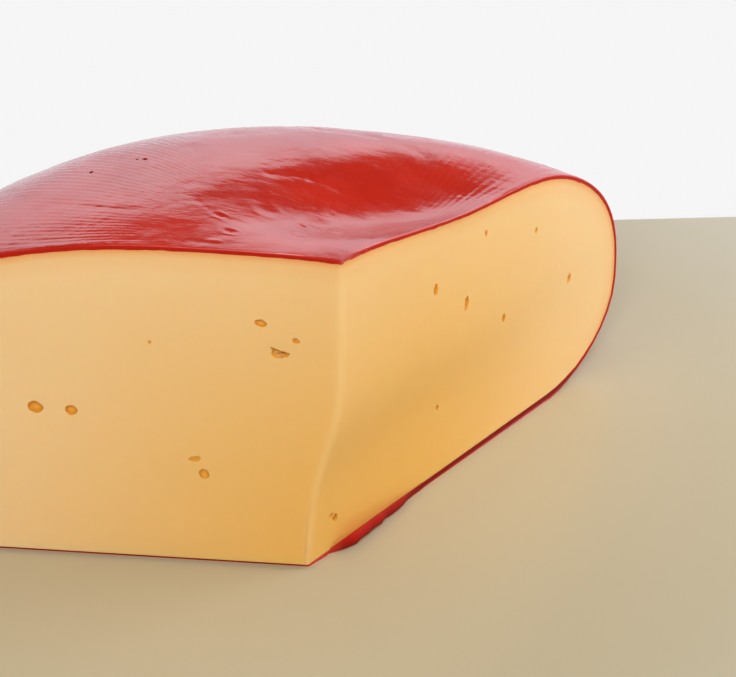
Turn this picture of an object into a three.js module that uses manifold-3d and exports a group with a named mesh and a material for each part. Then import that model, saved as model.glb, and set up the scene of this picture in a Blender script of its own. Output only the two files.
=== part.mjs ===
// A cut ball of cheese: about a third of a flattened, red-waxed ball of semi-hard cheese, as it lies
// on a table after two knife cuts through its middle.
// Two pieces come apart on a bench: the pale cheese itself, and the wax coat that wraps its round
// outside and ends at the two cut faces.
// Millimetres, +Z up. The ball's own axis stands upright; the front cut faces -Y, and the second cut
// runs back to the right from the same upright corner.
import * as THREE from "three";
import { mergeVertices } from "three/addons/utils/BufferGeometryUtils.js";
import Module from "manifold-3d";

// The whole ball, before it was cut.
const BALL_RADIUS = 130; // at its widest
const TOP_HEIGHT = 84; // of an even ball, before the relief of its top
const EQUATOR_HEIGHT = 23; // where it is widest: it has sagged under its own weight
const FLAT_RADIUS = 96; // of the flat spot that it stands on
const SHOULDER_POWER = 2.44; // how squarely the top rounds over at the rim
const SHOULDER_ROUND = 2.36;

// The relief of the top: a low crown by the corner, a long dimple that runs back to the right behind
// it, a shallow sag at the back, and a lean to the back left. Each swelling is an oval with its own
// half lengths and its turn, in degrees, from +X.
const CROWN = { height: 1.84, x: -15.4, y: 5.2, long: 25, short: 16.3, turn: 0 };
const DIMPLE = { height: -8.3, x: 11.2, y: 42.2, long: 42.7, short: 16.6, turn: 44.1 };
const BACK_SAG = { height: -2.4, x: -7.6, y: 98.5, long: 55.7, short: 12, turn: 1.8 };
const LEAN = { x: -0.091, y: 0.055 };

const WAX_THICKNESS = 1.5;
const CLEARANCE = 0.3; // between the wax and the cheese

// The cuts. The front one is the plane y = 0; the second leaves the corner at this angle to +X.
const SECOND_CUT_ANGLE = THREE.MathUtils.degToRad(60.2);
const DRIFT_START = 49; // height below which the second cut wandered off to the left
const DRIFT_AT_CORNER = 9; // how far it had wandered at the base, at the corner and at the rim
const DRIFT_AT_RIM = 2;

// The eyes, the small gas holes that the cuts opened. Each is a ball cut out of a face: how far it is
// from the corner along the face, its height, its radius, and how deep its middle lies in the cheese.
const FRONT_EYES = [
  { along: 72.1, height: 41.8, radius: 2.0, depth: 1.1 },
  { along: 63.6, height: 41.5, radius: 1.6, depth: 0.9 },
  { along: 18.3, height: 67.4, radius: 1.3, depth: 0.7 },
  { along: 14.1, height: 59.8, radius: 1.6, depth: 0.9 },
  { along: 10.4, height: 63.2, radius: 0.9, depth: 0.5 },
  { along: 32.9, height: 25.7, radius: 1.3, depth: 0.7 },
];
const SECOND_EYES = [
  { along: 6.2, height: 10.5, radius: 1.4, depth: 6.9 }, // in the foot that the knife cut back
  { along: 38, height: 60, radius: 1.5, depth: 0.8 },
  { along: 52, height: 50, radius: 1.9, depth: 1.0 },
  { along: 71, height: 37, radius: 1.4, depth: 0.8 },
  { along: 104, height: 34, radius: 1.4, depth: 1.0 },
];

const AROUND = 108; // facets round the whole ball
const UP_THE_TOP = 32; // steps from the widest line to the axis
const UP_THE_FOOT = 7; // steps from the flat spot to the widest line

const wasm = await Module();
wasm.setup();

// A closed three.js geometry as a solid that can be cut.
function solidOf(geometry) {
  const plain = geometry.clone();
  plain.deleteAttribute("normal");
  plain.deleteAttribute("uv");
  const merged = mergeVertices(plain, 1e-4);
  return new wasm.Manifold(
    new wasm.Mesh({
      numProp: 3,
      vertProperties: merged.attributes.position.array,
      triVerts: new Uint32Array(merged.index.array),
    }),
  );
}

// A cut solid back as a three.js geometry.
function geometryOf(solid) {
  const mesh = solid.getMesh();
  const geometry = new THREE.BufferGeometry();
  geometry.setAttribute("position", new THREE.BufferAttribute(mesh.vertProperties, 3));
  geometry.setIndex(new THREE.BufferAttribute(mesh.triVerts, 1));
  geometry.computeVertexNormals();
  return geometry;
}

// Half the ball's section, from the axis at the base, round the rim, to the axis at the top.
function ballSection() {
  const points = [new THREE.Vector2(0, 0)];
  for (let i = 0; i <= UP_THE_FOOT; i++) {
    const turn = (i / UP_THE_FOOT) * (Math.PI / 2);
    points.push(
      new THREE.Vector2(
        FLAT_RADIUS + (BALL_RADIUS - FLAT_RADIUS) * Math.sin(turn),
        EQUATOR_HEIGHT * (1 - Math.cos(turn)),
      ),
    );
  }
  for (let i = 1; i <= UP_THE_TOP; i++) {
    const share = Math.cos((i / UP_THE_TOP) * (Math.PI / 2));
    const rise = Math.pow(1 - Math.pow(share, SHOULDER_POWER), 1 / SHOULDER_ROUND);
    points.push(
      new THREE.Vector2(
        i === UP_THE_TOP ? 0 : BALL_RADIUS * share,
        EQUATOR_HEIGHT + (TOP_HEIGHT - EQUATOR_HEIGHT) * rise,
      ),
    );
  }
  return points;
}

// The same section moved inwards by a wall thickness, its two ends kept on the axis.
function insetSection(section, inset) {
  return section.map((point, i) => {
    const before = section[Math.max(i - 1, 0)];
    const after = section[Math.min(i + 1, section.length - 1)];
    const along = new THREE.Vector2().subVectors(after, before).normalize();
    const moved = new THREE.Vector2(point.x - along.y * inset, point.y + along.x * inset);
    if (i === 0) moved.set(0, inset);
    if (i === section.length - 1) moved.set(0, point.y - inset);
    return moved;
  });
}

function swelling(bump, x, y) {
  const turn = THREE.MathUtils.degToRad(bump.turn);
  const far = (x - bump.x) * Math.cos(turn) + (y - bump.y) * Math.sin(turn);
  const aside = (y - bump.y) * Math.cos(turn) - (x - bump.x) * Math.sin(turn);
  return bump.height * Math.exp(-((far / bump.long) ** 2) - (aside / bump.short) ** 2);
}

// Turns a section about the axis, then moves the upper half up and down by the relief of the top.
function turned(section) {
  const geometry = new THREE.LatheGeometry(section, AROUND).rotateX(Math.PI / 2);
  const place = geometry.attributes.position;
  for (let i = 0; i < place.count; i++) {
    const x = place.getX(i);
    const y = place.getY(i);
    const z = place.getZ(i);
    const share = Math.max(0, (z - EQUATOR_HEIGHT) / (TOP_HEIGHT - EQUATOR_HEIGHT));
    const oval = swelling(CROWN, x, y) + swelling(DIMPLE, x, y) + swelling(BACK_SAG, x, y);
    const relief = oval + LEAN.x * x + LEAN.y * y;
    place.setZ(i, z + relief * share);
  }
  return solidOf(geometry);
}

// The upright prism between the two cuts.
function betweenCuts() {
  const reach = 2 * BALL_RADIUS;
  const outline = new THREE.Shape([
    new THREE.Vector2(0, 0),
    new THREE.Vector2(reach * Math.cos(SECOND_CUT_ANGLE), reach * Math.sin(SECOND_CUT_ANGLE)),
    new THREE.Vector2(-reach, reach),
    new THREE.Vector2(-reach, 0),
  ]);
  const prism = new THREE.ExtrudeGeometry(outline, { depth: reach, bevelEnabled: false });
  return solidOf(prism.translate(0, 0, -reach / 2));
}

// What the wandering knife took from the foot of the second face: a block whose one side is the
// plane through the corner at DRIFT_START and the two drifted ends of the cut at the base.
function knifeDrift() {
  const corner = new THREE.Vector3(0, 0, DRIFT_START);
  const atCorner = new THREE.Vector3(-DRIFT_AT_CORNER, 0, 0);
  const atRim = new THREE.Vector3(
    BALL_RADIUS * Math.cos(SECOND_CUT_ANGLE) - DRIFT_AT_RIM,
    BALL_RADIUS * Math.sin(SECOND_CUT_ANGLE),
    0,
  );
  const along = new THREE.Vector3().subVectors(atRim, atCorner).normalize();
  const down = new THREE.Vector3().subVectors(atCorner, corner).normalize();
  const outwards = new THREE.Vector3().crossVectors(down, along).normalize();
  const upwards = new THREE.Vector3().crossVectors(outwards, along);
  const size = 4 * BALL_RADIUS;
  const block = new THREE.BoxGeometry(size, size, size);
  block.applyMatrix4(new THREE.Matrix4().makeBasis(along, upwards, outwards));
  const middle = corner.clone().addScaledVector(outwards, size / 2);
  return solidOf(block.translate(middle.x, middle.y, middle.z));
}

// One eye in a face that runs from the corner in the direction given.
function eye({ along, height, radius, depth }, direction, inwards) {
  const ball = new THREE.IcosahedronGeometry(radius, 2);
  const place = new THREE.Vector3(0, 0, height);
  place.addScaledVector(direction, along).addScaledVector(inwards, depth);
  return solidOf(ball.translate(place.x, place.y, place.z));
}

// Cuts the ball's solid down to the piece between the two cuts.
function cutPiece(solid) {
  return solid.intersect(betweenCuts()).subtract(knifeDrift());
}

function cheese() {
  let solid = cutPiece(turned(insetSection(ballSection(), WAX_THICKNESS + CLEARANCE)));
  const frontWay = new THREE.Vector3(-1, 0, 0);
  const frontInwards = new THREE.Vector3(0, 1, 0);
  const secondWay = new THREE.Vector3(Math.cos(SECOND_CUT_ANGLE), Math.sin(SECOND_CUT_ANGLE), 0);
  const secondInwards = new THREE.Vector3(-secondWay.y, secondWay.x, 0);
  for (const hole of FRONT_EYES) solid = solid.subtract(eye(hole, frontWay, frontInwards));
  for (const hole of SECOND_EYES) solid = solid.subtract(eye(hole, secondWay, secondInwards));
  const material = new THREE.MeshStandardMaterial({ color: 0xecbf74, roughness: 0.45, metalness: 0 });
  const mesh = new THREE.Mesh(geometryOf(solid), material);
  mesh.name = "cheese";
  return mesh;
}

function waxCoat() {
  const outside = turned(ballSection());
  const inside = turned(insetSection(ballSection(), WAX_THICKNESS));
  const material = new THREE.MeshStandardMaterial({ color: 0xbe1c1e, roughness: 0.35, metalness: 0 });
  const mesh = new THREE.Mesh(geometryOf(cutPiece(outside.subtract(inside))), material);
  mesh.name = "wax_coat";
  return mesh;
}

// The origin is the middle of the base of the whole piece.
const cutBall = new THREE.Group();
const piece = new THREE.Group().add(cheese(), waxCoat());
const middle = new THREE.Box3().setFromObject(piece, true).getCenter(new THREE.Vector3());
piece.position.set(-middle.x, -middle.y, 0);
cutBall.add(piece);

export default cutBall;
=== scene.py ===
import math

import bpy
import numpy as np
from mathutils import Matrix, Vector, noise


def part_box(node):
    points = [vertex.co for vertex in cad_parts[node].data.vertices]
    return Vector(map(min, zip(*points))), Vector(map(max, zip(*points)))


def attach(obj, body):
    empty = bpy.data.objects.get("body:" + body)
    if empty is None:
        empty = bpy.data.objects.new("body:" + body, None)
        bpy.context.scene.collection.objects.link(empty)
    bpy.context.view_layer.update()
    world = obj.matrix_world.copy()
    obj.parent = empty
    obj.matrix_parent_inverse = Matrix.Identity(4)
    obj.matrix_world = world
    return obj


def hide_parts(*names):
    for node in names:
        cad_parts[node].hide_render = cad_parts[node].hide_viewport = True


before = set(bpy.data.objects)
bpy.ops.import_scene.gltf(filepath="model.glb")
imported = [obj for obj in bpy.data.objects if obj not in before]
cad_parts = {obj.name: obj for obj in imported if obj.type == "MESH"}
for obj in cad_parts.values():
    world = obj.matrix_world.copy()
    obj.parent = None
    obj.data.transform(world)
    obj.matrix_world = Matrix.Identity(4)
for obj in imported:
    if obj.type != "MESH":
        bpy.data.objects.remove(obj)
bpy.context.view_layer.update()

# ---------------------------------------------------------------------------------------------
# THE CHEESE
# Semi-hard cheese, pressed in a round mould, sagged under its own weight and cut twice through its
# middle. The knife left smooth faces with faint drag marks, opened the small gas holes, the eyes,
# and wandered to the left at the foot of the second cut.
# ---------------------------------------------------------------------------------------------

MM = 0.001
BALL_RADIUS = 130 * MM
TOP_HEIGHT = 84 * MM
EQUATOR_HEIGHT = 23 * MM
FLAT_RADIUS = 96 * MM
SHOULDER_POWER = 2.44
SHOULDER_ROUND = 2.36
WAX_THICKNESS = 1.4 * MM
SECOND_CUT_DEGREES = 60.2  # from +X; the front cut is the plane through the axis along X
SECTOR_ANGLE = math.radians(180 - SECOND_CUT_DEGREES)  # from the front cut round to the second
# The knife's drift at the corner, in mm: how far, round what height, and how gradually.
DRIFT, DRIFT_HEIGHT, DRIFT_SOFTNESS = 6.6, 33.5, 6.5
DRIFT_AT_RIM = 0.06  # of the drift at the corner

# The relief of the top: height, middle from the corner and half lengths in mm, and turn in degrees.
CROWN = (1.84, -15.4, 5.2, 25, 16.3, 0)
DIMPLE = (-8.3, 11.2, 42.2, 42.7, 16.6, 44.1)
BACK_SAG = (-2.4, -7.6, 98.5, 55.7, 12, 1.8)
LEAN_X, LEAN_Y = -0.091, 0.055  # up to the back left

wax_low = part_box("wax_coat")[0]
AXIS = Vector((wax_low.x + BALL_RADIUS, wax_low.y, 0))  # where the ball's own axis stands


def outline(depth, steps=1500):
    """Half the ball's section as radius and height, from the axis at the base round to the axis at
    the top, moved inwards by a depth, with the length walked so far along it."""
    base = np.stack([np.linspace(0, FLAT_RADIUS, steps, endpoint=False), np.zeros(steps)], 1)
    turn = np.linspace(0, math.pi / 2, steps, endpoint=False)
    foot = np.stack(
        [
            FLAT_RADIUS + (BALL_RADIUS - FLAT_RADIUS) * np.sin(turn),
            EQUATOR_HEIGHT * (1 - np.cos(turn)),
        ],
        1,
    )
    turn = np.linspace(0, math.pi / 2, 2 * steps)
    share = np.cos(turn)
    rise = (1 - share**SHOULDER_POWER).clip(0) ** (1 / SHOULDER_ROUND)
    top = np.stack([BALL_RADIUS * share, EQUATOR_HEIGHT + (TOP_HEIGHT - EQUATOR_HEIGHT) * rise], 1)
    line = np.concatenate([base, foot, top])
    along = np.gradient(line, axis=0)
    along /= np.linalg.norm(along, axis=1)[:, None]
    line = line + depth * np.stack([-along[:, 1], along[:, 0]], 1)
    line[:, 0] = line[:, 0].clip(0)
    walked = np.concatenate([[0], np.cumsum(np.linalg.norm(np.diff(line, axis=0), axis=1))])
    return line, walked


def point_at(line, walked, distance):
    return np.stack([np.interp(distance, walked, line[:, k]) for k in (0, 1)], -1)


def coordinates(piece):
    place = np.empty(len(piece.data.vertices) * 3)
    piece.data.vertices.foreach_get("co", place)
    return place.reshape(-1, 3)


def set_coordinates(piece, place):
    piece.data.vertices.foreach_set("co", np.asarray(place, float).ravel())
    piece.data.update()


def swelling(x, y, height, at_x, at_y, long, short, turn):
    """An oval swelling: its height, its middle, its half lengths in mm, and its turn in degrees."""
    c, s = math.cos(math.radians(turn)), math.sin(math.radians(turn))
    far = (x / MM - at_x) * c + (y / MM - at_y) * s
    aside = (y / MM - at_y) * c - (x / MM - at_x) * s
    return height * MM * np.exp(-((far / long) ** 2) - (aside / short) ** 2)


def deselect_all():
    bpy.ops.object.select_all(action="DESELECT")


def make_active(piece):
    deselect_all()
    piece.select_set(True)
    bpy.context.view_layer.objects.active = piece


def knife_drift(z):
    """How far left the knife had wandered at a height, where the two cuts meet: it turned off in an
    S, and below a height of 40 mm it ran on outwards by 1 mm in 20."""
    share = 1 / (1 + np.exp((z / MM - DRIFT_HEIGHT) / DRIFT_SOFTNESS))
    return (DRIFT + 0.05 * (40 - z / MM)) * share * MM


def put_in_ball(place):
    """Turns the place of each point of a plain spun ball into its place in the real one: the foot
    of the second cut drifts left, and the top gets its relief."""
    x, y, z = (place - np.array(AXIS)).T
    radius = np.hypot(x, y)
    turned = np.arctan2(y, -x).clip(0, SECTOR_ANGLE)  # from the front cut
    line = outline(0)[0]
    lower = line[:, 1] <= EQUATOR_HEIGHT
    full = np.interp(z, line[lower, 1], line[lower, 0])  # how wide the ball is at this height
    share = np.clip(radius / full, 0, 1)
    drift = np.where(z < 70 * MM, knife_drift(z), 0)  # it is next to nothing up there
    angle = math.pi - turned + DRIFT_AT_RIM * drift / BALL_RADIUS * (turned / SECTOR_ANGLE)
    out_x, out_y = radius * np.cos(angle), radius * np.sin(angle)
    new_x = out_x - drift * (1 - share)
    new_y = out_y
    lift = np.clip((z - EQUATOR_HEIGHT) / (TOP_HEIGHT - EQUATOR_HEIGHT), 0, None)
    relief = (
        swelling(new_x, new_y, *CROWN)
        + swelling(new_x, new_y, *DIMPLE)
        + swelling(new_x, new_y, *BACK_SAG)
        + LEAN_X * new_x
        + LEAN_Y * new_y
    )
    return np.stack([new_x, new_y, z + relief * lift], 1) + np.array(AXIS)


# The front face: a flat grid stretched over half the section, then spun round to the second face.
CHEESE_COLUMNS, CHEESE_ROWS, CHEESE_TURNS = 118, 100, 40
OVERLAP = 0.2 * MM  # the cheese reaches this far into the wax, so that no gap shows between them
FACE_FOOT_RADIUS, FACE_TOP_RADIUS = 104 * MM, 108 * MM  # where the grid's two far corners lie
deselect_all()
bpy.ops.mesh.primitive_grid_add(
    x_subdivisions=CHEESE_COLUMNS, y_subdivisions=CHEESE_ROWS, size=1, location=(0.5, 0.5, 0)
)
cheese = bpy.context.object
cheese.name = cheese.data.name = "cheese_body"
bpy.ops.object.transform_apply(location=True, rotation=True, scale=True)

rind_line, rind_walked = outline(WAX_THICKNESS - OVERLAP)
half_way = len(rind_line) // 2  # where the top of the section begins
not_foot = rind_line[:, 1] > 20 * MM  # counts as a metre away
from_foot_corner = abs(rind_line[:, 0] - FACE_FOOT_RADIUS) + not_foot
foot_corner = rind_walked[np.argmin(from_foot_corner)]
top_corner = rind_walked[half_way + np.argmin(abs(rind_line[half_way:, 0] - FACE_TOP_RADIUS))]
grid_place = coordinates(cheese)
u, v = grid_place[:, 0], grid_place[:, 1]
v = v - 0.7 * np.sin(2 * math.pi * v) / (2 * math.pi)  # rows closer together near the rind


def stretched_over_section(u, v):
    """Stretches the unit square over half the section: its left side is the corner edge, and the
    other three run round the rind."""
    low = rind_line[0, 1]
    high = rind_line[-1, 1]
    bottom = point_at(rind_line, rind_walked, u * foot_corner)
    top = point_at(rind_line, rind_walked, rind_walked[-1] + u * (top_corner - rind_walked[-1]))
    left = np.stack([np.zeros_like(v), low + (high - low) * v], 1)
    right = point_at(rind_line, rind_walked, foot_corner + v * (top_corner - foot_corner))
    low_left = np.array([0, low])
    low_right = point_at(rind_line, rind_walked, foot_corner)
    high_left = np.array([0, high])
    high_right = point_at(rind_line, rind_walked, top_corner)
    u, v = u[:, None], v[:, None]
    return (
        (1 - v) * bottom
        + v * top
        + (1 - u) * left
        + u * right
        - (
            (1 - u) * (1 - v) * low_left
            + u * (1 - v) * low_right
            + (1 - u) * v * high_left
            + u * v * high_right
        )
    )


section = stretched_over_section(u, v)
set_coordinates(
    cheese,
    np.stack([-section[:, 0], np.zeros(len(section)), section[:, 1]], 1) + np.array(AXIS),
)
bpy.ops.object.mode_set(mode="EDIT")
bpy.ops.mesh.select_all(action="SELECT")
bpy.ops.mesh.spin(steps=CHEESE_TURNS, angle=SECTOR_ANGLE, center=AXIS, axis=(0, 0, 1))
bpy.ops.mesh.select_all(action="SELECT")
bpy.ops.mesh.remove_doubles(threshold=0.01 * MM)
bpy.ops.mesh.normals_make_consistent(inside=False)
bpy.ops.object.mode_set(mode="OBJECT")

# How far each point lies under the rind, for the colour of the cheese near it.
plain = coordinates(cheese) - np.array(AXIS)
in_section = np.stack([np.hypot(plain[:, 0], plain[:, 1]), plain[:, 2]], 1)
rind_depth = np.empty(len(plain))
AT_A_TIME = 4000  # points, which keeps the table of gaps small
for start in range(0, len(plain), AT_A_TIME):
    some = in_section[start : start + AT_A_TIME]
    gap = np.linalg.norm(some[:, None, :] - rind_line[None, ::12, :], axis=2)
    rind_depth[start : start + AT_A_TIME] = gap.min(1)
attribute = cheese.data.attributes.new("under_rind", "FLOAT", "POINT")
attribute.data.foreach_set("value", rind_depth)
set_coordinates(cheese, put_in_ball(coordinates(cheese)))


def select_edges(piece, test):
    """Selects the edges of a piece whose middle and direction pass a test."""
    mesh = piece.data
    for item in [*mesh.vertices, *mesh.edges, *mesh.polygons]:
        item.select = False
    for edge in mesh.edges:
        a, b = (mesh.vertices[i].co for i in edge.vertices)
        edge.select = test((a + b) / 2, (b - a).normalized())


def on_corner(middle, way):
    from_axis = middle - AXIS
    beside = abs(from_axis.x + knife_drift(from_axis.z))
    return bool(abs(from_axis.y) < 0.05 * MM and beside < 0.12 * MM and abs(way.z) > 0.8)


# The corner edge, rubbed round by handling.
CORNER_ROUND = 1.0 * MM  # less than one column of the grid
make_active(cheese)
select_edges(cheese, on_corner)
bpy.ops.object.mode_set(mode="EDIT")
bpy.context.tool_settings.mesh_select_mode = (False, True, False)
bpy.ops.mesh.bevel(offset=CORNER_ROUND, segments=4, profile=0.5, affect="EDGES")
bpy.ops.object.mode_set(mode="OBJECT")

second_angle = math.radians(SECOND_CUT_DEGREES)
second_way = Vector((math.cos(second_angle), math.sin(second_angle), 0))
second_inwards = Vector((-second_way.y, second_way.x, 0))

# The eyes the two cuts opened: along the face from the corner, height, half width, half height and
# depth in mm, tilt in degrees, and how torn the edge is. The one near 15 along and 60 high is torn
# into three.
FRONT_EYES = [
    (72.1, 41.8, 1.8, 1.6, 2.1, -20, 0.10),
    (63.6, 41.5, 1.45, 1.3, 1.7, -20, 0.12),
    (18.3, 67.4, 1.35, 0.95, 1.0, -15, 0.15),
    (15.0, 60.4, 1.30, 0.45, 1.0, -28, 0.5),
    (13.2, 59.6, 1.30, 0.60, 1.3, -8, 0.4),
    (14.6, 59.4, 1.50, 0.85, 0.6, -20, 0.2),
    (10.4, 63.2, 0.85, 0.60, 0.8, -30, 0.25),
    (32.9, 25.7, 1.35, 1.25, 1.1, -60, 0.2),
    (35.0, 29.8, 1.50, 0.70, 0.25, 8, 0.3),
    (44.0, 61.0, 0.35, 0.45, 0.2, 0, 0.3),
]
SECOND_EYES = [
    (5.3, 10.0, 0.95, 1.0, 3.2, 20, 0.5),
    (3.8, 11.4, 1.1, 0.8, 0.3, 0, 0.3),
    (38, 60, 1.0, 1.5, 1.2, 10, 0.25),
    (52, 50, 0.9, 2.1, 1.4, -8, 0.35),
    (60, 66, 0.6, 0.9, 0.7, 0, 0.25),
    (71, 37, 0.8, 1.3, 1.0, 12, 0.25),
    (84, 57, 0.5, 0.8, 0.6, 0, 0.25),
    (104, 34, 0.9, 1.4, 1.0, 0, 0.3),
    (45, 22, 0.6, 0.9, 0.8, 20, 0.3),
]


def second_face_drift(along, height):
    """How far left of the plain second cut the knife had wandered there."""
    share = along / BALL_RADIUS
    return knife_drift(height) * (second_way.y * (1 - share) + DRIFT_AT_RIM * share)


EYE_SUNK = -0.1  # of its depth: the middle lies in front of the face, so that the bowl is shallow
eye_cutters = []
for face, eyes in (("front", FRONT_EYES), ("second", SECOND_EYES)):
    for number, (along, height, half_wide, half_high, depth, tilt, torn) in enumerate(eyes):
        deselect_all()
        bpy.ops.mesh.primitive_ico_sphere_add(subdivisions=4, radius=1)
        cutter = bpy.context.object
        ball = coordinates(cutter)
        seed = Vector((number * 3.7, 11.0 if face == "front" else 29.0, 5.0))
        push = [
            1
            + torn * noise.noise(Vector(p) * 1.6 + seed)
            + 0.4 * torn * noise.noise(Vector(p) * 4.5 + seed)
            for p in ball
        ]
        ball = ball * np.array(push)[:, None]
        half_size = np.array([half_wide, depth, half_high]) * MM
        ball = ball * half_size / math.sqrt(1 - EYE_SUNK**2)
        turn = math.radians(tilt)
        ball[:, 0], ball[:, 2] = (
            ball[:, 0] * math.cos(turn) - ball[:, 2] * math.sin(turn),
            ball[:, 0] * math.sin(turn) + ball[:, 2] * math.cos(turn),
        )
        if face == "front":
            middle = AXIS + Vector((-along * MM, EYE_SUNK * depth * MM, height * MM))
            eye_place = ball + np.array(middle)
        else:
            inward = second_face_drift(along * MM, height * MM) + EYE_SUNK * depth * MM
            up = Vector((0, 0, height * MM))
            middle = AXIS + second_way * along * MM + second_inwards * inward + up
            turned_in = np.array([second_way, second_inwards, (0, 0, 1)])
            eye_place = ball @ turned_in + np.array(middle)
        set_coordinates(cutter, eye_place)
        eye_cutters.append(cutter)


def joined(pieces):
    deselect_all()
    for piece in pieces:
        piece.select_set(True)
    bpy.context.view_layer.objects.active = pieces[0]
    bpy.ops.object.join()
    return bpy.context.object


eye_cutter = joined(eye_cutters)

# The knife's drag marks and the slow hollows that the cheese springs back into, as real relief. It
# starts a little under the rind and is full 3 mm further in.
RIND_EDGE = 0.3 * MM
face_place = coordinates(cheese)
from_axis = face_place - np.array(AXIS)
normals = np.empty(len(face_place) * 3)
cheese.data.vertices.foreach_get("normal", normals)
normals = normals.reshape(-1, 3)
under = np.empty(len(face_place))
cheese.data.attributes["under_rind"].data.foreach_get("value", under)
relief = np.zeros(len(face_place))
for i in np.flatnonzero(under >= RIND_EDGE):
    p = Vector(from_axis[i])
    slow = noise.noise(Vector((p.x * 28, p.y * 28, p.z * 34)))
    drag = noise.noise(Vector((p.x * 40, p.y * 40, p.z * 420 + p.x * 60)))
    inside = min(1.0, (under[i] - RIND_EDGE) / (3 * MM))
    relief[i] = inside * (0.24 * MM * slow + 0.05 * MM * drag)
set_coordinates(cheese, face_place + normals * relief[:, None])

# The lower edge of the front face hangs a little over the cut wax.
HANG = 0.15 * MM
hung = coordinates(cheese)
near_front = (from_axis[:, 1] < 0.6 * MM) & (from_axis[:, 0] > -120 * MM)
low_front = near_front & (from_axis[:, 2] < 4 * MM)
hung[:, 2] -= np.where(low_front, HANG * np.clip(1.5 - from_axis[:, 2] / (2.6 * MM), 0, 1), 0)
set_coordinates(cheese, hung)

# How near each point is to the rounded corner, for the painted highlight along it, and which faces
# are not inside an eye.
CORNER_HIGHLIGHT_WIDTH = 1.3 * MM
from_edge = np.hypot(from_axis[:, 0] + knife_drift(from_axis[:, 2]), from_axis[:, 1])
attribute = cheese.data.attributes.new("edge", "FLOAT", "POINT")
attribute.data.foreach_set("value", np.exp(-((from_edge / CORNER_HIGHLIGHT_WIDTH) ** 2)))
attribute = cheese.data.attributes.new("face", "FLOAT", "FACE")
attribute.data.foreach_set("value", np.ones(len(cheese.data.polygons)))


def cut_out(piece, cutter, smooth_angle):
    """Cuts a cutter out of a piece, deletes it, and smooths the piece below an angle in degrees."""
    make_active(piece)
    opened = piece.modifiers.new("cut out", "BOOLEAN")
    opened.operation = "DIFFERENCE"
    opened.solver = "MANIFOLD"
    opened.object = cutter
    bpy.ops.object.modifier_apply(modifier=opened.name)
    bpy.data.objects.remove(cutter)
    make_active(piece)
    bpy.ops.object.shade_smooth_by_angle(angle=math.radians(smooth_angle))


cut_out(cheese, eye_cutter, 38)


def linear(hex_colour):
    """An sRGB hex colour as linear light."""
    parts = [int(hex_colour[k : k + 2], 16) / 255 for k in (0, 2, 4)]
    return [c / 12.92 if c <= 0.04045 else ((c + 0.055) / 1.055) ** 2.4 for c in parts] + [1.0]


def add(tree, kind, settings=None, stops=(), **links):
    """Adds a node. Settings are its own properties; a link or a value goes to the input that is
    named, with _ for a space, or numbered, as in_0. Stops are the places and colours of a band."""
    node = tree.nodes.new(kind)
    for name, value in (settings or {}).items():
        setattr(node, name, value)
    for number, (place, colour) in enumerate(stops):
        elements = node.color_ramp.elements
        stop = elements[number] if number < 2 else elements.new(place)
        stop.position = place
        stop.color = linear(colour) if isinstance(colour, str) else [colour] * 3 + [1]
    for name, value in links.items():
        key = int(name[3:]) if name.startswith("in_") else name.replace("_", " ")
        socket = node.inputs[key]
        if isinstance(value, bpy.types.NodeSocket):
            tree.links.new(value, socket)
        else:
            socket.default_value = value
    return node


def new_material(name):
    material = bpy.data.materials.new(name)
    material.use_nodes = True
    tree = material.node_tree
    tree.nodes.clear()
    surface = add(tree, "ShaderNodeOutputMaterial")
    shader = add(tree, "ShaderNodeBsdfPrincipled")
    tree.links.new(shader.outputs[0], surface.inputs[0])
    return material, tree, shader


def shader_values(shader, **values):
    for name, value in values.items():
        shader.inputs[name.replace("_", " ")].default_value = value


# Semi-hard cheese, cut with a wet knife: a satin, slightly fatty skin over a body that light soaks
# into, pale butter yellow, deeper and more orange in the last millimetres under the wax, partly
# painted red light.
cheese_material, tree, shader = new_material("semi_hard_cheese_cut_face")
place = add(tree, "ShaderNodeTexCoord").outputs["Object"]
mottle = add(tree, "ShaderNodeTexNoise", in_0=place, Scale=90, Detail=3)
cloud = add(tree, "ShaderNodeTexNoise", in_0=place, Scale=22, Detail=2)
under_node = add(tree, "ShaderNodeAttribute", {"attribute_name": "under_rind"})
body = add(
    tree,
    "ShaderNodeMix",
    {"data_type": "RGBA"},
    in_0=cloud.outputs["Fac"],
    in_6=linear("EEC588"),
    in_7=linear("F2CD97"),
)
# Painted shade: deeper and yellower round the foot of the second face, by the corner, and paler away
# from it.
corner_foot = (50 * MM, -50 * MM, 0.0)
from_foot = add(
    tree, "ShaderNodeVectorMath", {"operation": "DISTANCE"}, in_0=place, in_1=corner_foot
)
corner_shade_share = add(
    tree,
    "ShaderNodeMapRange",
    {"interpolation_type": "SMOOTHSTEP"},
    in_0=from_foot.outputs["Value"],
    in_1=15 * MM,
    in_2=125 * MM,
    in_3=1,
    in_4=0,
)
corner_shaded = add(
    tree,
    "ShaderNodeMix",
    {"data_type": "RGBA"},
    in_0=corner_shade_share.outputs[0],
    in_6=body.outputs[2],
    in_7=linear("E9B154"),
)
# Painted highlight: the rounded corner is paler.
corner = add(tree, "ShaderNodeAttribute", {"attribute_name": "edge"})
corner_highlight_share = add(
    tree, "ShaderNodeMath", {"operation": "MULTIPLY"}, in_0=corner.outputs["Fac"], in_1=0.3
)
corner_highlighted = add(
    tree,
    "ShaderNodeMix",
    {"data_type": "RGBA"},
    in_0=corner_highlight_share.outputs[0],
    in_6=corner_shaded.outputs[2],
    in_7=linear("F6D598"),
)
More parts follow.
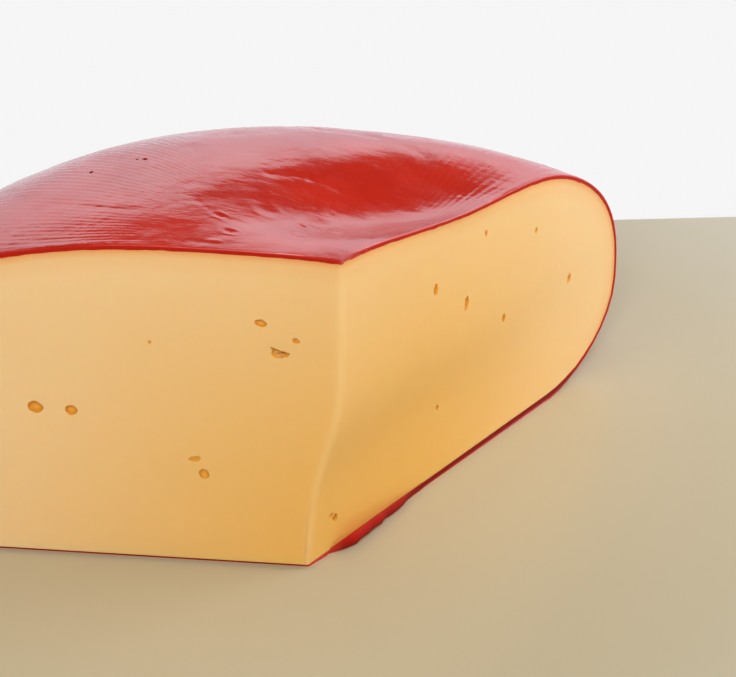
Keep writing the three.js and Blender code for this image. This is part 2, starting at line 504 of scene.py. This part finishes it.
# Drier and more orange in the last millimetres under the wax: partly the rind's own tone and partly
# painted red light bled from the wax, fading out towards the base.
near_rind = add(
    tree,
    "ShaderNodeMapRange",
    in_0=under_node.outputs["Fac"],
    in_1=0.0,
    in_2=6 * MM,
    in_3=0,
    in_4=1,
)
rind_share = add(
    tree,
    "ShaderNodeValToRGB",
    stops=[(0, 1.0), (0.16, 0.6), (0.32, 0.22), (1, 0.0)],
    in_0=near_rind.outputs[0],
)
height_above = add(tree, "ShaderNodeSeparateXYZ", in_0=place)
above_foot = add(
    tree,
    "ShaderNodeMapRange",
    in_0=height_above.outputs[2],
    in_1=4 * MM,
    in_2=14 * MM,
    in_3=0.0,
    in_4=1.0,
)
rind_tone_and_wax_bleed = add(
    tree,
    "ShaderNodeMath",
    {"operation": "MULTIPLY"},
    in_0=rind_share.outputs[0],
    in_1=above_foot.outputs[0],
)
coloured = add(
    tree,
    "ShaderNodeMix",
    {"data_type": "RGBA"},
    in_0=rind_tone_and_wax_bleed.outputs[0],
    in_6=corner_highlighted.outputs[2],
    in_7=linear("F0994C"),
)
# Painted shade: the walls of the eyes are a deeper, darker yellow.
face_share = add(tree, "ShaderNodeAttribute", {"attribute_name": "face"})
eye_walls_shaded = add(
    tree,
    "ShaderNodeMix",
    {"data_type": "RGBA"},
    in_0=face_share.outputs["Fac"],
    in_6=linear("DE9A2E"),
    in_7=coloured.outputs[2],
)
tree.links.new(eye_walls_shaded.outputs[2], shader.inputs["Base Color"])
satin = add(
    tree,
    "ShaderNodeMapRange",
    in_0=mottle.outputs["Fac"],
    in_1=0.3,
    in_2=0.7,
    in_3=0.42,
    in_4=0.55,
)
tree.links.new(satin.outputs[0], shader.inputs["Roughness"])
shader_values(shader, IOR=1.46, Subsurface_Weight=0.35, Subsurface_Scale=4 * MM)
shader.inputs["Subsurface Radius"].default_value = (1.0, 0.55, 0.18)
# A grain of about 1 mm, coarser than the real one so that it shows, and level drag marks as fine.
grain = add(tree, "ShaderNodeTexNoise", in_0=place, Scale=900, Detail=2)
level = add(tree, "ShaderNodeMapping", in_0=place, in_3=(60, 60, 900))
drag_marks = add(tree, "ShaderNodeTexNoise", in_0=level.outputs[0], Scale=1, Detail=2)
grain_and_drag = add(
    tree,
    "ShaderNodeMath",
    {"operation": "MULTIPLY_ADD"},
    in_0=drag_marks.outputs["Fac"],
    in_1=0.6,
    in_2=grain.outputs["Fac"],
)
cut_skin = add(
    tree, "ShaderNodeBump", Height=grain_and_drag.outputs[0], Strength=0.25, Distance=0.05 * MM
)
tree.links.new(cut_skin.outputs[0], shader.inputs["Normal"])
cheese.data.materials.clear()
cheese.data.materials.append(cheese_material)

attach(cheese, "root")
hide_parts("cheese")

# ---------------------------------------------------------------------------------------------
# THE WAX COAT
# Red cheese wax: the ball was dipped whole, so the coat is even and follows the folds of the cloth
# that the cheese was pressed in. The knife cut it with the cheese and left a drawn lip at the top,
# crumbs along the seam, and a squeezed bead under the foot of the second face.
# ---------------------------------------------------------------------------------------------

WAX_TURNS = 360
WAX_LAYERS = 3  # through the thickness, which show at the cuts
BEAD_END = 46 * MM  # the base is finer where the bead runs under the second cut
SHOULDER_RADIUS = 112 * MM
FINE_TOP = 62 * MM  # round the axis, where the small marks are
outer_line, outer_walked = outline(0)
top_start = len(outer_line) // 2
foot_length = np.interp(BALL_RADIUS, outer_line[:top_start, 0], outer_walked[:top_start])
on_shoulder = np.argmin(abs(outer_line[top_start:, 0] - SHOULDER_RADIUS))
shoulder_end = outer_walked[top_start + on_shoulder]
top_end = outer_walked[-1]
wax_steps = np.concatenate(
    [
        np.linspace(0, BEAD_END, 19)[:-1],
        np.linspace(BEAD_END, FLAT_RADIUS, 6)[:-1],
        np.linspace(FLAT_RADIUS, foot_length, 10)[:-1],
        np.linspace(foot_length, shoulder_end, 14)[:-1],
        np.linspace(shoulder_end, top_end - FINE_TOP, 29)[:-1],
        np.linspace(top_end - FINE_TOP, top_end, 62),
    ]
)
deselect_all()
bpy.ops.mesh.primitive_grid_add(
    x_subdivisions=len(wax_steps) - 1, y_subdivisions=WAX_LAYERS, size=1, location=(0.5, 0.5, 0)
)
wax = bpy.context.object
wax.name = wax.data.name = "wax_shell"
bpy.ops.object.transform_apply(location=True, rotation=True, scale=True)
grid_place = coordinates(wax)
index = np.rint(grid_place[:, 0] * (len(wax_steps) - 1)).astype(int)
outer_points = point_at(outer_line, outer_walked, wax_steps)
direction = np.gradient(outer_line, axis=0)
direction /= np.linalg.norm(direction, axis=1)[:, None]
inward = np.stack([-direction[:, 1], direction[:, 0]], 1)
inward_points = np.stack([np.interp(wax_steps, outer_walked, inward[:, k]) for k in (0, 1)], 1)
layer_depth = WAX_THICKNESS * grid_place[:, 1]
section = outer_points[index] + inward_points[index] * layer_depth[:, None]
ends = (index == 0) | (index == len(wax_steps) - 1)
section[:, 0] = np.where(ends, 0, section[:, 0].clip(0))
for name, value in (("depth", layer_depth), ("walked", wax_steps[index])):
    attribute = wax.data.attributes.new(name, "FLOAT", "POINT")
    attribute.data.foreach_set("value", value)
set_coordinates(
    wax, np.stack([-section[:, 0], np.zeros(len(section)), section[:, 1]], 1) + np.array(AXIS)
)
bpy.ops.object.mode_set(mode="EDIT")
bpy.ops.mesh.select_all(action="SELECT")
bpy.ops.mesh.spin(steps=WAX_TURNS, angle=SECTOR_ANGLE, center=AXIS, axis=(0, 0, 1))
bpy.ops.mesh.select_all(action="SELECT")
bpy.ops.mesh.remove_doubles(threshold=0.01 * MM)
bpy.ops.mesh.normals_make_consistent(inside=False)
bpy.ops.object.mode_set(mode="OBJECT")


def attribute_values(piece, name):
    values = np.empty(len(piece.data.vertices))
    piece.data.attributes[name].data.foreach_get("value", values)
    return values


def smooth_step(value, start, end):
    share = np.clip((value - start) / (end - start), 0, 1)
    return share * share * (3 - 2 * share)


def noise_at(points, scale, seed):
    """Smooth noise, about -1 to 1, at points in metres; the scale is in lumps per metre."""
    shift = Vector((seed * 7.31, seed * 3.17, seed * 5.71))
    return np.array([noise.noise(Vector(p) * scale + shift) for p in points])


plain = coordinates(wax) - np.array(AXIS)
turned = np.arctan2(plain[:, 1], -plain[:, 0])
radius = np.hypot(plain[:, 0], plain[:, 1])
layer_depth = attribute_values(wax, "depth")
walked = attribute_values(wax, "walked")
facing = np.stack([np.interp(walked, outer_walked, inward[:, k]) for k in (0, 1)], 1)
outwards = np.stack(
    [facing[:, 0] * np.cos(turned), -facing[:, 0] * np.sin(turned), -facing[:, 1]], 1
)
ON_CUT = 1e-5  # a turn or a radius smaller than this is zero
at_front = (turned < ON_CUT) & (radius > ON_CUT)
at_second = (turned > SECTOR_ANGLE - ON_CUT) & (radius > ON_CUT)
at_cut = at_front | at_second
is_outer = layer_depth < 0.001 * MM
is_inner = layer_depth > WAX_THICKNESS - 0.001 * MM

# The outside, in mm: low waves, dents as wide as a thumb, and the folds of the cloth, 2 or 3 mm
# apart, which die out towards the axis and behind the dimple and come and go in patches.
FOLDS = 250  # round the whole ball
off_table = np.where(plain[:, 2] < 0.5 * MM, 0.0, 1.0)  # the base is flat where it stands
waves = (
    0.30 * noise_at(plain, 22, 1)
    + 0.17 * noise_at(plain, 60, 2)
    + 0.10 * noise_at(plain, 130, 3)
    + 0.03 * noise_at(plain, 300, 12)
)
wander = 0.03 * noise_at(plain, 28, 4) + 0.006 * noise_at(plain, 110, 5)
patches = smooth_step(noise_at(plain, 20, 6), -0.4, 0.3)
behind_dimple = smooth_step(turned, 0.75, 1.05) * (1 - smooth_step(turned, 1.6, 1.9))
outer_part = smooth_step(radius - 30 * MM * behind_dimple, 38 * MM, 70 * MM)
fold_strength = outer_part * (0.25 + 0.75 * patches) * (1 - 0.6 * behind_dimple)
folds = 0.085 * np.sin((turned + wander) * FOLDS) * fold_strength
folds += 0.02 * np.sin((turned - 1.5 * wander) * FOLDS * 0.53) * fold_strength
push = (waves + folds) * off_table * MM
near_cut = np.minimum(turned, SECTOR_ANGLE - turned) * radius
push *= 0.35 + 0.65 * smooth_step(near_cut, 0, 3 * MM)  # the knife pressed the coat flat
push -= 0.2 * MM * (1 - smooth_step(near_cut, 0, 15 * MM)) * off_table  # and drew its edge down

wax_place = put_in_ball(plain + np.array(AXIS)) - np.array(AXIS)
wax_place += outwards * np.where(is_outer, push, np.where(is_inner, 0, push * 0.5))[:, None]

# The cut edges: the outer lip drawn over, and the seam with the cheese crumbled a little.
LIP = 0.1 * MM
lip = at_cut & is_outer & (plain[:, 2] > 1 * MM)
wax_place -= outwards * np.where(lip, LIP, 0)[:, None]
crumb = 0.12 * noise_at(plain, 420, 7) - 0.06 + 0.5 * np.clip(noise_at(plain, 190, 8) - 0.3, 0, 1)
seam = at_cut & is_inner & (plain[:, 2] > 2 * MM)
wax_place -= outwards * np.where(seam, crumb * MM, 0)[:, None]
across = np.stack([np.sin(turned), np.cos(turned), 0 * turned], 1)  # away from the front cut
stand_proud = np.where(at_front, -1.0, np.where(at_second, 1.0, 0.0))
proud = np.where(is_outer, 0.0, 0.12 + 0.05 * noise_at(plain, 300, 9)) * MM
wax_place += across * (stand_proud * proud)[:, None]

# Under the front face the coat ends a little behind the cheese; under the foot of the second face
# it was squeezed out into a bead.
TUCK = 0.75 * MM
low_part = 1 - smooth_step(plain[:, 2], 1.5 * MM, 4 * MM)
behind_front = 1 - smooth_step(plain[:, 1], 0, 5 * MM)
wax_place[:, 1] += TUCK * low_part * behind_front
bead_along = smooth_step(radius, 0, 9 * MM) * (1 - smooth_step(radius, 24 * MM, BEAD_END))
bead_rough = 1 + 0.7 * noise_at(plain, 150, 10) + 0.4 * noise_at(plain, 330, 11)
share = layer_depth / WAX_THICKNESS
bead_out = (0.5 + 2.1 * np.sin(math.pi * (0.15 + 0.62 * share))) * MM
in_bead = at_second & (plain[:, 2] < 2 * MM)
wax_place += across * np.where(in_bead, bead_out * bead_along * bead_rough, 0)[:, None]
wax_place[:, 2] += np.where(in_bead, 2.0 * MM * share * bead_along * bead_rough, 0)

# Marks on the top, in mm from the corner: dents and two bumps by place, half width and height,
# and scratches and creases by the points they run through, half width and height.
MARKS = [
    (-43.9, 56.7, 2.2, -0.18),
    (-11.0, 20.0, 1.3, -0.35),
    (-11.0, 13.0, 1.1, -0.30),
    (-7.5, 24.0, 2.6, -0.22),
    (-2.5, 18.0, 1.6, -0.20),
    (-20.0, 24.0, 1.8, -0.16),
    (-26.0, 9.0, 1.0, -0.25),
    (2.6, 75.2, 1.6, 0.35),
    (-28.6, 3.7, 0.8, 0.3),
    (-29.6, 16.3, 0.9, -0.25),
]
SCRATCHES = [
    ([(-24.5, 86.1), (-14.4, 78.3), (1.4, 74.6), (14.1, 68.3)], 1.2, -0.3),
    ([(-21.8, 40.9), (-12.5, 43.4), (-6.0, 43.0)], 1.1, -0.25),
    ([(-36.0, 22.0), (-29.6, 16.3), (-22.0, 14.5)], 0.9, -0.07),
    ([(-70.0, 22.0), (-58.0, 17.5), (-49.0, 16.0)], 1.2, -0.12),
]
on_top = is_outer & (plain[:, 2] > EQUATOR_HEIGHT)
x, y = wax_place[:, 0] / MM, wax_place[:, 1] / MM
mark_height = np.zeros(len(x))
for at_x, at_y, wide, height in MARKS:
    away = np.hypot(x - at_x, y - at_y) / wide
    rim = 0.35 * np.exp(-((away - 1.7) ** 2) * 3) * (height < 0)  # wax pushed up round a dent
    mark_height += height * (np.exp(-away * away) - rim)
for line, wide, height in SCRATCHES:
    for (x0, y0), (x1, y1) in zip(line[:-1], line[1:]):
        dx, dy = x1 - x0, y1 - y0
        run = np.clip(((x - x0) * dx + (y - y0) * dy) / (dx**2 + dy**2), 0, 1)
        away = np.hypot(x - x0 - run * dx, y - y0 - run * dy) / wide
        mark_height += height * np.exp(-away * away) * 0.7
wax_place[:, 2] += np.where(on_top, mark_height * MM, 0)
set_coordinates(wax, wax_place + np.array(AXIS))

# Pits in the skin, in mm: place and half width, and how far above it their middle lies.
PITS = [(-65.4, 41.2, 0.45, 0), (-55.2, 47.9, 0.5, 0.35), (-53.2, 47.0, 0.6, 0.4)]
top_place = wax_place[on_top]
pit_cutters = []
for at_x, at_y, wide, above in PITS:
    away = np.hypot(top_place[:, 0] / MM - at_x, top_place[:, 1] / MM - at_y)
    nearest = top_place[np.argmin(away)]
    deselect_all()
    bpy.ops.mesh.primitive_ico_sphere_add(subdivisions=3, radius=1)
    cutter = bpy.context.object
    ball = coordinates(cutter)
    rough = 1 + 0.35 * noise_at(ball, 1.7, at_x)
    ball = ball * rough[:, None] * np.array([wide * 1.3, wide * 1.3, wide]) * MM
    set_coordinates(cutter, ball + nearest + np.array(AXIS) + np.array([0, 0, above * MM]))
    pit_cutters.append(cutter)

# Which faces are not inside a pit, and which points lie on a fresh cut.
attribute = wax.data.attributes.new("skin", "FLOAT", "FACE")
attribute.data.foreach_set("value", np.ones(len(wax.data.polygons)))
attribute = wax.data.attributes.new("fresh_cut", "FLOAT", "POINT")
attribute.data.foreach_set("value", (at_cut & ~is_outer).astype(float))
cut_out(wax, joined(pit_cutters), 50)

# Food wax, melted and dipped: deep red with a satin gloss that goes milky where light grazes it,
# finely creased, a dark brownish red in the pits, and a duller, darker cut edge with painted shadow
# at its base.
wax_material, tree, shader = new_material("red_dipped_cheese_wax")
place = add(tree, "ShaderNodeTexCoord").outputs["Object"]
from_axis = add(tree, "ShaderNodeMapping", in_0=place, in_1=tuple(-AXIS), in_3=(1, 1, 0))
split = add(tree, "ShaderNodeSeparateXYZ", in_0=from_axis.outputs[0])
angle = add(
    tree,
    "ShaderNodeMath",
    {"operation": "ARCTAN2"},
    in_0=split.outputs[1],
    in_1=split.outputs[0],
)
flat_radius = add(
    tree, "ShaderNodeVectorMath", {"operation": "LENGTH"}, in_0=from_axis.outputs[0]
)
# Fine creases that run out from the axis with the folds, about 1 mm apart and ten times as long,
# only towards the rim.
polar = add(tree, "ShaderNodeCombineXYZ", in_0=angle.outputs[0], in_1=flat_radius.outputs["Value"])
stretched = add(tree, "ShaderNodeMapping", in_0=polar.outputs[0], in_3=(95, 90, 1))
creases = add(tree, "ShaderNodeTexNoise", in_0=stretched.outputs[0], Scale=1, Detail=3, Roughness=0.6)
outer_creases = add(
    tree,
    "ShaderNodeMapRange",
    {"interpolation_type": "SMOOTHSTEP"},
    in_0=flat_radius.outputs["Value"],
    in_1=55 * MM,
    in_2=100 * MM,
    in_3=0.0,
    in_4=0.8,
)
crease_bump = add(
    tree,
    "ShaderNodeBump",
    Height=creases.outputs["Fac"],
    Strength=outer_creases.outputs[0],
    Distance=0.22 * MM,
)
# Drawn streaks from the dipping and from hands, along the front, about 3 mm apart, and lumps like
# orange peel, about 4 mm wide.
drawn = add(tree, "ShaderNodeMapping", in_0=place, in_2=(0, 0, 0.12), in_3=(60, 330, 200))
streaks = add(tree, "ShaderNodeTexNoise", in_0=drawn.outputs[0], Scale=1, Detail=4, Roughness=0.62)
streak_bump = add(
    tree,
    "ShaderNodeBump",
    Height=streaks.outputs["Fac"],
    Strength=0.45,
    Distance=0.22 * MM,
    Normal=crease_bump.outputs[0],
)
lumps = add(tree, "ShaderNodeTexNoise", in_0=place, Scale=260, Detail=4, Roughness=0.55)
lump_bump = add(
    tree,
    "ShaderNodeBump",
    Height=lumps.outputs["Fac"],
    Strength=0.8,
    Distance=0.2 * MM,
    Normal=streak_bump.outputs[0],
)
tree.links.new(lump_bump.outputs[0], shader.inputs["Normal"])
colour_noise = add(tree, "ShaderNodeTexNoise", in_0=place, Scale=45, Detail=4)
red = add(
    tree,
    "ShaderNodeValToRGB",
    stops=[(0.35, "B5200F"), (0.65, "C42A17")],
    in_0=colour_noise.outputs["Fac"],
)
# Where the skin is pitted, the colour is a dark brownish red.
skin = add(tree, "ShaderNodeAttribute", {"attribute_name": "skin"})
pits_darker = add(
    tree,
    "ShaderNodeMix",
    {"data_type": "RGBA"},
    in_0=skin.outputs["Fac"],
    in_6=linear("6E150C"),
    in_7=red.outputs[0],
)
cut = add(tree, "ShaderNodeAttribute", {"attribute_name": "fresh_cut"})
# Painted shadow: at the base the cut edge is much darker, where the cheese overhangs it by the table.
height_above = add(tree, "ShaderNodeSeparateXYZ", in_0=place)
base_shadow_share = add(
    tree,
    "ShaderNodeMapRange",
    in_0=height_above.outputs[2],
    in_1=1 * MM,
    in_2=4 * MM,
    in_3=1.0,
    in_4=0.0,
)
cut_red_and_base_shadow = add(
    tree,
    "ShaderNodeMix",
    {"data_type": "RGBA"},
    in_0=base_shadow_share.outputs[0],
    in_6=linear("B31A0A"),
    in_7=linear("7A140B"),
)
both = add(
    tree,
    "ShaderNodeMix",
    {"data_type": "RGBA"},
    in_0=cut.outputs["Fac"],
    in_6=pits_darker.outputs[2],
    in_7=cut_red_and_base_shadow.outputs[2],
)
tree.links.new(both.outputs[2], shader.inputs["Base Color"])
worn = add(tree, "ShaderNodeTexNoise", in_0=place, Scale=70, Detail=4, Roughness=0.65)
gloss = add(
    tree, "ShaderNodeMapRange", in_0=worn.outputs["Fac"], in_1=0.35, in_2=0.7, in_3=0.1, in_4=0.28
)
pitted = add(tree, "ShaderNodeMath", {"operation": "SUBTRACT"}, in_0=1.0, in_1=skin.outputs["Fac"])
bare = add(
    tree,
    "ShaderNodeMath",
    {"operation": "ADD", "use_clamp": True},
    in_0=pitted.outputs[0],
    in_1=cut.outputs["Fac"],
)
matte = add(tree, "ShaderNodeMix", in_0=bare.outputs[0], in_2=gloss.outputs[0], in_3=0.6)
tree.links.new(matte.outputs[0], shader.inputs["Roughness"])
dull = add(tree, "ShaderNodeMix", in_0=bare.outputs[0], in_2=0.5, in_3=0.1)
tree.links.new(dull.outputs[0], shader.inputs["Specular IOR Level"])
shader_values(shader, IOR=1.47, Subsurface_Weight=0.08, Subsurface_Scale=1.5 * MM)
shader.inputs["Subsurface Radius"].default_value = (1.0, 0.15, 0.1)
wax.data.materials.clear()
wax.data.materials.append(wax_material)

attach(wax, "root")
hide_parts("wax_coat")

# ---------------------------------------------------------------------------------------------
# THE TABLE, THE LIGHT AND THE CAMERA
# What the cheese is shown on and lit by: a plain, glazed, pale table top, a white wall behind it
# that shines in the wax, a dark ceiling, and three soft lamps. None of it belongs to the object.
# ---------------------------------------------------------------------------------------------

TABLE_WIDE, TABLE_DEEP, TABLE_TURN = 1.8, 1.2, 9  # metres, and degrees
TABLE_MIDDLE_X, TABLE_FAR_EDGE = 0.18, 0.136
deselect_all()
bpy.ops.mesh.primitive_plane_add(size=1, location=(0, 0, 0))
table = bpy.context.object
table.scale = (TABLE_WIDE, TABLE_DEEP, 1)
table.location = (TABLE_MIDDLE_X, TABLE_FAR_EDGE - TABLE_DEEP / 2, 0)
table.rotation_euler = (0, 0, math.radians(TABLE_TURN))
bpy.ops.object.transform_apply(location=True, rotation=True, scale=True)
table.name = table.data.name = "table"

# Glazed earthenware, cream white and half glossy, with painted shade and yellow bounce light round
# the cheese: browner there and paler away.
table_material, tree, shader = new_material("cream_glazed_table_top")
place = add(tree, "ShaderNodeTexCoord").outputs["Object"]
distance = add(tree, "ShaderNodeVectorMath", {"operation": "LENGTH"}, in_0=place)
far = add(
    tree,
    "ShaderNodeMapRange",
    in_0=distance.outputs["Value"],
    in_1=140 * MM,
    in_2=500 * MM,
    in_3=0,
    in_4=1,
)
shaded_near_cheese = add(
    tree,
    "ShaderNodeValToRGB",
    stops=[(0, "BDB091"), (0.3, "C6C0AE"), (0.7, "CBC8BD"), (1, "D2D0C9")],
    in_0=far.outputs[0],
)
tree.links.new(shaded_near_cheese.outputs[0], shader.inputs["Base Color"])
shader_values(shader, Roughness=0.32)
table.data.materials.append(table_material)

# The wall shines brightest up to about 27 degrees above the level, where the dark ceiling starts,
# a little higher at the left. What lies behind the camera is dark too.
world = bpy.data.worlds.new("studio")
bpy.context.scene.world = world
world.use_nodes = True
tree = world.node_tree
tree.nodes.clear()
way = add(tree, "ShaderNodeTexCoord").outputs["Generated"]
split = add(tree, "ShaderNodeSeparateXYZ", in_0=way)
leftwards = add(
    tree,
    "ShaderNodeMapRange",
    {"interpolation_type": "SMOOTHSTEP"},
    in_0=split.outputs[0],
    in_1=-0.5,
    in_2=-0.1,
    in_3=-0.06,
    in_4=0.0,
)
height = add(
    tree, "ShaderNodeMath", {"operation": "ADD"}, in_0=split.outputs[2], in_1=leftwards.outputs[0]
)
scaled = add(tree, "ShaderNodeMapRange", in_0=height.outputs[0], in_1=-0.4, in_2=1, in_3=0, in_4=1)
wall = add(
    tree,
    "ShaderNodeValToRGB",
    stops=[
        (0, 0.4483),
        (0.05, 0.4483),
        (0.12, "BFC1C9"),
        (0.36, "BFC2CC"),
        (0.46, "F0F2FA"),
        (0.600, "F4F6FF"),
        (0.630, 0.04),
        (1, 0.06),
    ],
    in_0=scaled.outputs[0],
)
behind = add(
    tree,
    "ShaderNodeMapRange",
    {"interpolation_type": "SMOOTHSTEP"},
    in_0=split.outputs[1],
    in_1=-0.1,
    in_2=0.4,
    in_3=0.05,
    in_4=1.0,
)
wall_only_behind = add(
    tree,
    "ShaderNodeVectorMath",
    {"operation": "SCALE"},
    in_0=wall.outputs[0],
    Scale=behind.outputs[0],
)
sky = add(tree, "ShaderNodeBackground", in_0=wall_only_behind.outputs[0], in_1=2.05)
add(tree, "ShaderNodeOutputWorld", in_0=sky.outputs[0])


def softbox(name, place, target, size, watts):
    light = bpy.data.lights.new(name, "AREA")
    light.energy = watts
    light.size = size
    lamp = bpy.data.objects.new(name, light)
    bpy.context.scene.collection.objects.link(lamp)
    lamp.location = place
    lamp.rotation_euler = (Vector(target) - Vector(place)).to_track_quat("-Z", "Y").to_euler()


softbox("key", (0.1, -1.0, 0.8), (0, 0, 0.04), 0.6, 13)
softbox("side", (0.5, 0.15, 0.22), (0.05, 0.02, 0.05), 0.35, 1.5)
softbox("overhead", (0, 0, 1.2), (0, 0, 0.04), 0.8, 2.2)

# Seen from the front and a little from the right, looking 30 degrees down.
CAMERA_FROM_AXIS = Vector((44.97, -385.84, 288.68)) * MM
camera_data = bpy.data.cameras.new("camera")
camera_data.sensor_width = 36
camera_data.lens = 97.826087
camera_data.clip_start = 10 * MM
camera = bpy.data.objects.new("camera", camera_data)
bpy.context.scene.collection.objects.link(camera)
camera.location = AXIS + CAMERA_FROM_AXIS
camera.rotation_euler = (math.radians(60), 0, math.radians(5.7875))
bpy.context.scene.camera = camera
bpy.context.scene.view_settings.view_transform = "Standard"
